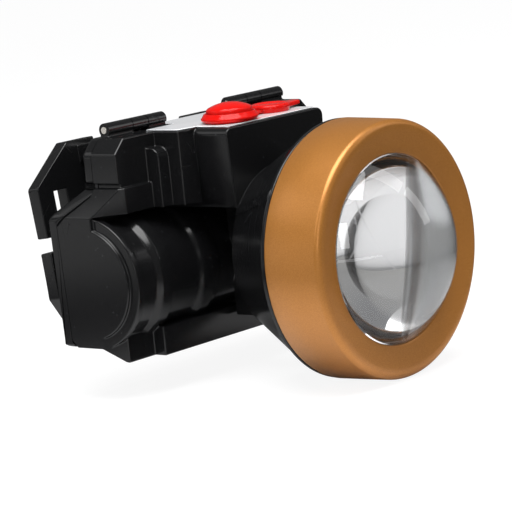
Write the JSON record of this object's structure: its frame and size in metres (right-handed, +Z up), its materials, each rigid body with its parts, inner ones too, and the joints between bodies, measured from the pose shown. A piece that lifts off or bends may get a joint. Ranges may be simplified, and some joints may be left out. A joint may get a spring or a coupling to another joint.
{
  "type": "cap lamp",
  "caption": "Round-headed cap lamp with a sideways battery tube, a push-button and capped charging port on top, and a strap bracket that tilts behind.",
  "frame": {"origin": "centre of the lamp's bounding box, at its lowest point, which is the bottom of the bezel", "axes": "+X to the side that carries the charging port, +Y from the lens to the strap bracket, +Z up; the lens looks along -Y"},
  "size_m": [0.084, 0.0908, 0.0671],
  "materials": {
    "bezel_aluminium": "satin, fine bronze-gold flake",
    "clear_lens": "polished clear acrylic",
    "black_plastic": "semi-gloss moulded",
    "red_rubber": "glossy moulded",
    "white_label": "glossy, bare",
    "dark_rubber": "matt",
    "reflector_mirror": "bright",
    "white_plastic": "matt",
    "led_phosphor": "gloss",
    "white_board": "satin",
    "green_board": "satin",
    "dark_plastic": "satin",
    "bare_aluminium": "machined",
    "steel": "plain",
    "nickel": "plain",
    "cell_sleeve": "shrink sleeve",
    "red_wire": "satin",
    "black_wire": "satin"
  },
  "bodies": {
    "housing": {"bezel_ring": "bezel_aluminium", "lens": "clear_lens", "lens_seal": "dark_rubber", "reflector": "reflector_mirror", "led_centring_ring": "white_plastic", "led_emitter": "led_phosphor", "led_board": "white_board", "led_screws": "steel", "heat_sink": "bare_aluminium", "front_housing": "black_plastic", "rear_cover": "black_plastic", "cover_seal": "dark_rubber", "cover_screws": "steel", "top_label": "white_label", "button_collar": "red_rubber", "power_switch": "dark_plastic", "port_cover_anchor": "red_rubber", "charge_socket": "dark_plastic", "control_board": "green_board", "board_parts": "dark_plastic", "board_screws": "steel", "battery_cell": "cell_sleeve", "battery_contacts": "nickel", "battery_spring": "steel", "battery_leads": "black_wire", "led_leads": "red_wire", "hinge_pins": "steel"},
    "bracket": {"strap_bracket": "black_plastic"},
    "button": {"button_cap": "red_rubber", "switch_plunger": "white_plastic"},
    "cover_flap": {"port_cover": "red_rubber"}
  },
  "joints": [
    {"name": "bracket_tilt", "type": "hinge", "parent": "housing", "child": "bracket", "pos_m": [0, 0.02383, 0.0638], "axis": [1, 0, 0], "range_deg": [0, 60]},
    {"name": "button_press", "type": "slide", "parent": "housing", "child": "button", "axis": [0, 0, -1], "range_m": [0, 0.0012], "stiffness_N_per_m": 800, "springref_m": -0.0005},
    {"name": "port_cover_hinge", "type": "hinge", "parent": "housing", "child": "cover_flap", "pos_m": [0.0024, 0.00613, 0.0631], "axis": [0, -1, 0], "range_deg": [0, 95]}
  ]
}
